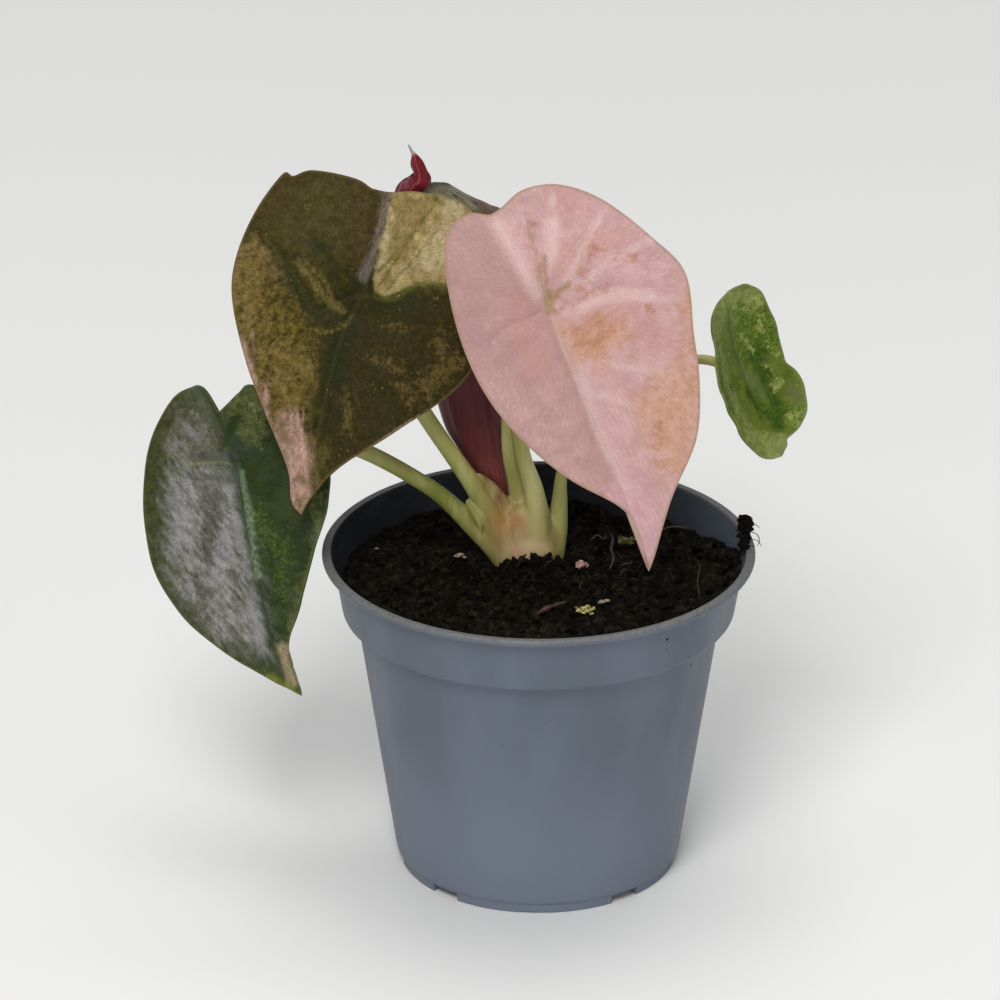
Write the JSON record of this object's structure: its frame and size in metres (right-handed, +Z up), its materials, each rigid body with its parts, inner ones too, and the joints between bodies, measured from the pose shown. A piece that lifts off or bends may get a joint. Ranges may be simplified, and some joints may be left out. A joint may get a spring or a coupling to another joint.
{
  "type": "potted alocasia",
  "caption": "Young elephant-ear house plant with heart-shaped leaves on bare stalks, in a tapered round grower's pot filled with dark soil.",
  "frame": {"origin": "centre of the pot's underside, on its flat centre pad, level with the foot ring", "axes": "+Z up along the pot's axis, -Y towards the side that the picture shows, +X to the right as seen from -Y"},
  "size_m": [0.1833, 0.1595, 0.205],
  "materials": {
    "pot_plastic": "matt blue-grey moulded plastic",
    "soil": "moist dark fibrous peat, rough",
    "soil_bits": "dry bark, grit and grains, rough",
    "stem": "smooth waxy pale green to peach plant skin",
    "leaf_pink": "satin dusty pink leaf with paler ribs and an olive hub",
    "leaf_bronze": "satin olive-bronze leaf with tan and pale sectors",
    "leaf_dark": "glossy dark green leaf with a grey sheen",
    "leaf_green": "satin mottled bright and dark green leaf",
    "leaf_new": "satin dark maroon rolled leaf with a crimson tip"
  },
  "bodies": {
    "root": {"pot": "pot_plastic", "soil": "soil", "crown": "stem", "petiole_pink": "stem", "petiole_bronze": "stem", "petiole_dark": "stem", "petiole_small": "stem", "petiole_rear": "stem", "leaf_pink": "leaf_pink", "leaf_bronze": "leaf_bronze", "leaf_dark": "leaf_dark", "leaf_small": "leaf_green", "leaf_rear": "leaf_bronze", "leaf_new": "leaf_new", "stone_chip": "soil_bits", "bark_sliver": "soil_bits", "fertiliser_grain": "soil_bits", "pale_chip": "soil_bits", "moss_lump": "soil_bits", "rim_crumb": "soil"}
  },
  "joints": []
}
